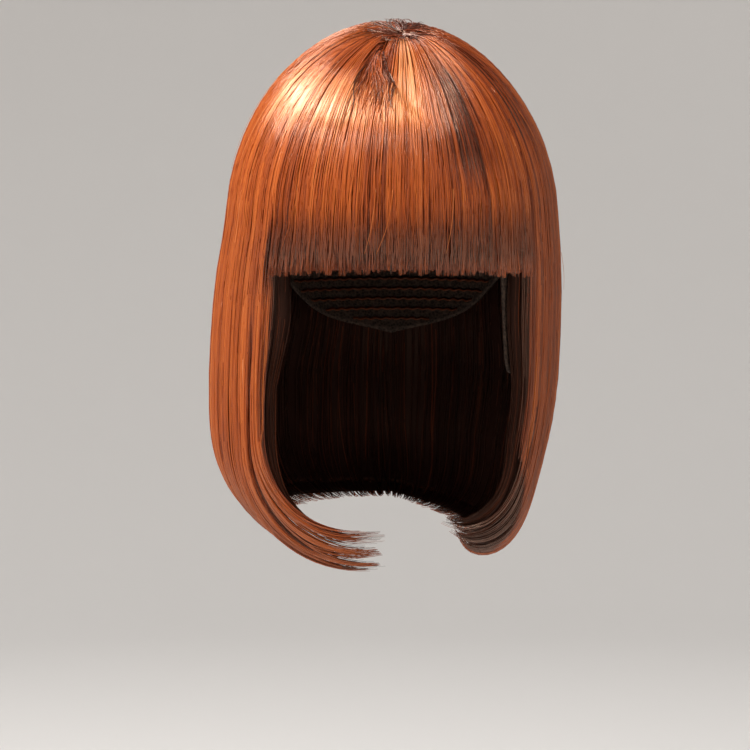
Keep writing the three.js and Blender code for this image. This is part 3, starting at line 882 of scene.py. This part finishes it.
# The inner hair, dark with painted shade, with extra strands in a veil beside its open edge at the face.
UNDER = {
    "under_left": {
        "from": -116, "to": FRINGE_LEFT, "columns": 46, "open_edge": FRINGE_LEFT, "inwards": -1, "veil": 50},
    "under_right": {
        "from": FRINGE_RIGHT, "to": 116, "columns": 40, "open_edge": FRINGE_RIGHT, "inwards": 1, "veil": 200},
    "under_back": {"from": 116, "to": 244, "columns": 64, "open_edge": None},
}
UNDER_SAMPLES = 22
UNDER_ROWS = 40
UNDER_PER_DEGREE = 2.3
EDGE_STRANDS = 70


def under_strands(rng, around, depth):
    count = len(around)
    start = rng.uniform(HAIRLINE, 1.3, count)
    end = rng.uniform(2.55, 2.98, count)
    place = sample_places(start, end, UNDER_SAMPLES)
    wisp = clusters(rng, around, around.min(), around.max(), 2.2)
    angle = mix(around[:, None], wisp.centre[:, None], 0.6 * ease(place, 1.5, 2.8))
    angle = angle + wave(rng, wisp.cell, wisp.count, place, 0.5, 0.5)
    angle = angle + wave(rng, np.arange(count), count, place, 0.5, 0.6)
    path = hair_at(angle, place, depth=depth[:, None])
    radius = tapered(rng, count, INNER_RADII, TIP_LOSS, place, end[:, None] - 0.3, end[:, None])
    return path, radius, 0.42 + 0.16 * rng.normal(0, 1, count), place / LAST_PLACE


def build_under(rng, name, section):
    low, high, edge = section["from"], section["to"], section["open_edge"]
    around = np.linspace(low, high, section["columns"] + 1)
    last = np.full(len(around), UNDER_END - 0.1)
    count = int((high - low) * UNDER_PER_DEGREE)
    groups = [under_strands(rng, rng.uniform(low, high, count), rng.uniform(0.9, 1.0, count))]
    if edge is not None:
        last = last - 0.4 * bell(around - edge, 9)
        beside_edge = ((EDGE_STRANDS, 1.6, 0.5, 1.0), (section["veil"], 22, 0.45, 0.62))
        for strands, reach, shallow, deep in beside_edge:
            beside = edge + section["inwards"] * rng.uniform(0, reach, strands)
            groups.append(under_strands(rng, beside, rng.uniform(shallow, deep, strands)))
    place = sample_places(np.full(len(around), HAIRLINE), last, UNDER_ROWS)
    angle = around[:, None]
    sheet = sheet_arrays(hair_at(angle, place, depth=0.6), hair_at(angle, place, depth=0.93))
    make_mesh(f"{name}_body", *sheet, under_body_painted_shade, "under_hair", [name])
    tubes(f"{name}_strands", *joined(groups), under_strands_painted_shade, "under_hair", [name])


def build_whorl(rng):
    """The whorl's tuft: short strands that cross each other round a body."""
    count = 170
    around = rng.uniform(-180, 180, count)
    end = rng.uniform(0.07, 0.16, count)
    steps = np.linspace(0, 1, 9)[None, :]
    place = mix(0.01, end[:, None], steps)
    angle = around[:, None] + 70 * (1 - steps) * rng.uniform(-1, 1, count)[:, None]
    behind = bell(np.mod(angle, 360) - 170, 60)
    sunk = rng.uniform(0.1, 1.8, count)[:, None] - 1.4 * behind * window(place, 0.03, 0.12, 0.05)
    radius = tapered(rng, count, (0.18, 0.3), 0.6, steps, 0.7, 1)
    tone = 0.16 + 0.14 * rng.normal(0, 1, count)
    path = hair_at(angle, place, sunk=sunk)
    tubes("whorl_strands", path, radius, tone, place * 3, copper, "copper_hair", ["whorl_tuft"])
    around = np.arange(-180.0, 180, 7.5)[:, None]
    place = np.linspace(0.004, 0.125, 6)[None, :]
    sheet = sheet_arrays(hair_at(around, place, sunk=1.6), hair_at(around, place, depth=1), ring=True)
    make_mesh("whorl_body", *sheet, copper_body_painted_shade, "copper_hair", ["whorl_tuft"])


def build_parting(rng):
    """Short strands in the forked parting before the whorl, dark with painted shade, which open like a fan
    and cross.
    """
    count = 120
    steps = np.linspace(0, 1, 12)[None, :]
    across = rng.uniform(0, 1, count)
    start = rng.uniform(0.1, 0.26, count)
    place = mix(start[:, None], rng.uniform(0.4, 0.62, count)[:, None], steps)
    opened = np.clip((place - 0.15) / 0.26, 0.02, 1)
    angle = -21.5 + 21 * across[:, None] * opened
    angle = angle + wave(rng, np.arange(count), count, place, 2.6, 2.2) * opened
    sunk = rng.uniform(-0.3, 1.4, count)[:, None] + 0.8 * grooves(angle, place)
    radius = tapered(rng, count, (0.15, 0.26), 0.8, steps, 0.6, 1)
    painted_shade_sides = 0.38 * ease(across, 0.7, 0.95) + 0.24 * ease(0.25 - across, 0, 0.25)
    tone = 0.42 - painted_shade_sides + 0.14 * rng.normal(0, 1, count)
    path = hair_at(angle, place, sunk=sunk)
    tubes("parting_strands", path, radius, tone, place, copper, "copper_hair", ["fringe", "whorl_tuft"])


def build_loose_hairs(rng):
    """Loose hairs a little off the surface, the first one at a given place. None hangs over the face."""
    count = 26
    steps = np.linspace(0, 1, 14)[None, :]
    angle = rng.uniform(-130, 230, count)
    angle[0] = 3.5
    start = rng.uniform(0.25, 1.6, count)
    start[0] = 0.6
    reach = rng.uniform(0.12, 0.5, count)
    over_face = (angle > -54) & (angle < 62)
    start = np.where(over_face, np.minimum(start, 0.85), start)
    reach = np.where(over_face, np.minimum(reach, 1.12 - start), reach)
    place = start[:, None] + reach[:, None] * steps
    angle = angle[:, None] + rng.uniform(-5, 5, count)[:, None] * steps ** 1.5
    angle[0] = 3.5 + 6.5 * ease(place[0], 0.7, 0.84)
    lift = rng.uniform(0.4, 1.5, count)[:, None] * np.sin(steps * math.pi * 0.7) - 0.3
    radius = np.broadcast_to(0.16 * (1 - 0.6 * steps), place.shape)
    tone = 0.7 + 0.1 * rng.normal(0, 1, count)
    tubes("loose_strands", hair_at(angle, place, sunk=-lift), radius, tone, place / BASE["span"], copper,
          "copper_hair", ["fringe", "side_left", "side_right", "back"])


# The net cap: a crown and a band that meet at a seam, with rows of hair sewn inside.
SEAM = 0.6
SEAM_GAP = 0.3 / (math.pi * HEAD_WIDTH / 2)
PANELS = {
    "cap_crown": {"start": 0.002, "end": SEAM - SEAM_GAP, "rows": 32},
    "cap_band": {"start": SEAM + SEAM_GAP, "end": None, "rows": 46},
}
HEM = 0.5
ROW_STEP = 0.062
HAIR_ROWS = np.arange(0.16, 1.75, ROW_STEP)
ROW_SAMPLES = 90
ROW_RADIUS = 0.75


def cap_edge_place(around):
    drop = lookup(CAP_EDGE, "around", "drop", np.abs(around)) * NAPE_DROP
    dome = np.arccos(np.clip(1 - drop / CROWN_RISE, -1, 1)) / (math.pi / 2)
    return np.where(drop < CROWN_RISE, dome, drop / CROWN_RISE)


def cap_point(around, place, offset):
    spread = np.sin(np.minimum(place, 1) * math.pi / 2)
    angle = np.radians(around)
    dome = points(
        (HEAD_WIDTH / 2 + offset) * spread * np.sin(angle),
        -(HEAD_LENGTH / 2 + offset) * spread * np.cos(angle),
        -CROWN_RISE + (CROWN_RISE + offset) * np.cos(np.minimum(place, 1) * math.pi / 2))
    wall = head_wall(around, np.maximum(place - 1, 0) * CROWN_RISE / HANG, offset)
    return np.where((place > 1)[..., None], wall, dome)


def build_net(name, panel):
    """A panel of the cap. The band ends in a hem at the cap's edge."""
    around = np.arange(-180.0, 180, 3)[:, None]
    to_edge = panel["end"] is None
    last = cap_edge_place(around) if to_edge else np.full(around.shape, panel["end"])
    place = mix(panel["start"], last, np.linspace(0, 1, panel["rows"])[None, :])
    hem = HEM * ease(place, last - 0.05, last - 0.035) if to_edge else 0
    sheet = sheet_arrays(cap_point(around, place, CAP_WALL), cap_point(around, place, -hem), ring=True)
    make_mesh(f"{name}_net", *sheet, net, "cap_net", [name])


def build_rows(rng, name, panel):
    """Rows of hair sewn round the inside of a panel."""
    last = 1.8 if panel["end"] is None else panel["end"] - 0.02
    turn = np.arange(-180.0, 180.1, 2)
    paths = []
    for row in HAIR_ROWS[(HAIR_ROWS > panel["start"] + 0.02) & (HAIR_ROWS < last)]:
        shown = row < cap_edge_place(turn) - 0.03
        for span in np.split(np.arange(len(turn)), np.flatnonzero(np.diff(shown)) + 1):
            if shown[span[0]] and len(span) > 6:
                at = np.linspace(turn[span[0]], turn[span[-1]], ROW_SAMPLES)
                wobble = 0.004 * np.sin(at * 1.3 + row * 40)
                paths.append(cap_point(at, row + wobble, -0.1))
    path = np.array(paths)
    tone = 0.75 + 0.1 * rng.normal(0, 1, len(path))
    along = np.broadcast_to(np.linspace(0.1, 0.9, ROW_SAMPLES), path.shape[:2])
    radius = np.full(path.shape[:2], ROW_RADIUS)
    tubes(f"{name}_rows", path, radius, tone, along, under_strands_painted_shade, "under_hair", [name])


# The wig. All its chance comes from one seed, drawn in this order.
rng = np.random.default_rng(7)
share = 1.0
for name, section in SECTIONS.items():
    build_section(rng, name, section, share)
for name, section in UNDER.items():
    build_under(rng, name, section)
build_whorl(rng)
build_parting(rng)
build_loose_hairs(rng)
for name, panel in PANELS.items():
    build_net(name, panel)
for name, panel in PANELS.items():
    build_rows(rng, name, panel)

# The stage, the lights and the camera, in metres.
STAGE = {"floor": -0.62, "radius": 2.6, "corner": 0.9, "height": 3.2, "turns": 96, "bends": 14}
STAGE_GREY = (0.69, 0.675, 0.66, 1)


def stage_bowl(floor, radius, corner, height, turns, bends):
    """A pale floor that turns up into a round wall."""
    profile = [(0.0, floor)]
    profile += [(radius - corner + corner * math.sin(t), floor + corner - corner * math.cos(t))
                for t in np.linspace(0, math.pi / 2, bends)]
    profile.append((radius, floor + height))
    ring = [(r * math.cos(a), r * math.sin(a), z)
            for a in np.linspace(0, 2 * math.pi, turns, endpoint=False) for r, z in profile]
    rows = len(profile)
    sides = [(i * rows, (i + 1) % turns * rows) for i in range(turns)]
    faces = [(a + j, b + j, b + j + 1, a + j + 1) for a, b in sides for j in range(rows - 1)]
    mesh = bpy.data.meshes.new("studio_floor")
    mesh.from_pydata(ring, [], faces)
    mesh.shade_smooth()
    material, nodes, links, shader = node_tree("studio_grey")
    set_inputs(shader, {"Base Color": STAGE_GREY, "Roughness": 0.9})
    mesh.materials.append(material)
    link_object("studio_floor", mesh)


LIGHTS_AIM = Vector((0, 0, -0.1))
LIGHT_COLUMNS = ("azimuth", "elevation", "distance", "size", "watts", "colour", "glossy")
LIGHTS = {
    "key": (-64, 53, 1.5, (1.2, 0.3), 29, (1, 0.97, 0.94), True),
    "crown_light": (-32, 58, 1.6, (0.6, 0.3), 9, (1, 0.98, 0.96), True),
    "front_fill": (-2, 50, 1.7, (1.2, 1.2), 12, (1, 0.98, 0.96), False),
    "back_left": (-150, 50, 1.7, (0.7, 0.7), 9, PLAIN, True),
    "back_right": (140, 35, 1.7, (0.9, 0.9), 4, PLAIN, False),
}
AIR_COLOUR = (1, 0.99, 0.98, 1)
AIR_STRENGTH = 0.2
CAMERA = {"lens": 145.7, "sensor": 36, "elevation": 5, "distance": 1.7}
CAMERA_AIM = Vector((-0.0095, 0, -0.178))


def direction(azimuth, elevation):
    """A unit vector by degrees: azimuth from -Y towards +X, and elevation."""
    a = math.radians(azimuth)
    e = math.radians(elevation)
    return Vector((math.sin(a) * math.cos(e), -math.cos(a) * math.cos(e), math.sin(e)))


def hold(name, data, aim, away, distance):
    """A lamp or a camera turned to its aim."""
    holder = link_object(name, data)
    holder.location = aim + away * distance
    holder.rotation_euler = (-away).to_track_quat("-Z", "Y").to_euler()
    return holder


def softbox(name, light):
    lamp = bpy.data.lights.new(name, "AREA")
    lamp.shape = "RECTANGLE"
    lamp.size, lamp.size_y = light["size"]
    lamp.energy = light["watts"]
    lamp.color = light["colour"]
    away = direction(light["azimuth"], light["elevation"])
    hold(name, lamp, LIGHTS_AIM, away, light["distance"]).visible_glossy = light["glossy"]


stage_bowl(**STAGE)
for name, row in LIGHTS.items():
    softbox(name, dict(zip(LIGHT_COLUMNS, row)))
world = bpy.data.worlds.new("studio_air")
bpy.context.scene.world = world
world.use_nodes = True
set_inputs(world.node_tree.nodes["Background"], {"Color": AIR_COLOUR, "Strength": AIR_STRENGTH})
bpy.context.scene.view_settings.view_transform = "Standard"

camera = bpy.data.cameras.new("camera")
camera.sensor_width = CAMERA["sensor"]
camera.lens = CAMERA["lens"]
bpy.context.scene.camera = hold(
    "camera", camera, CAMERA_AIM, direction(0, CAMERA["elevation"]), CAMERA["distance"])

bpy.context.view_layer.update()
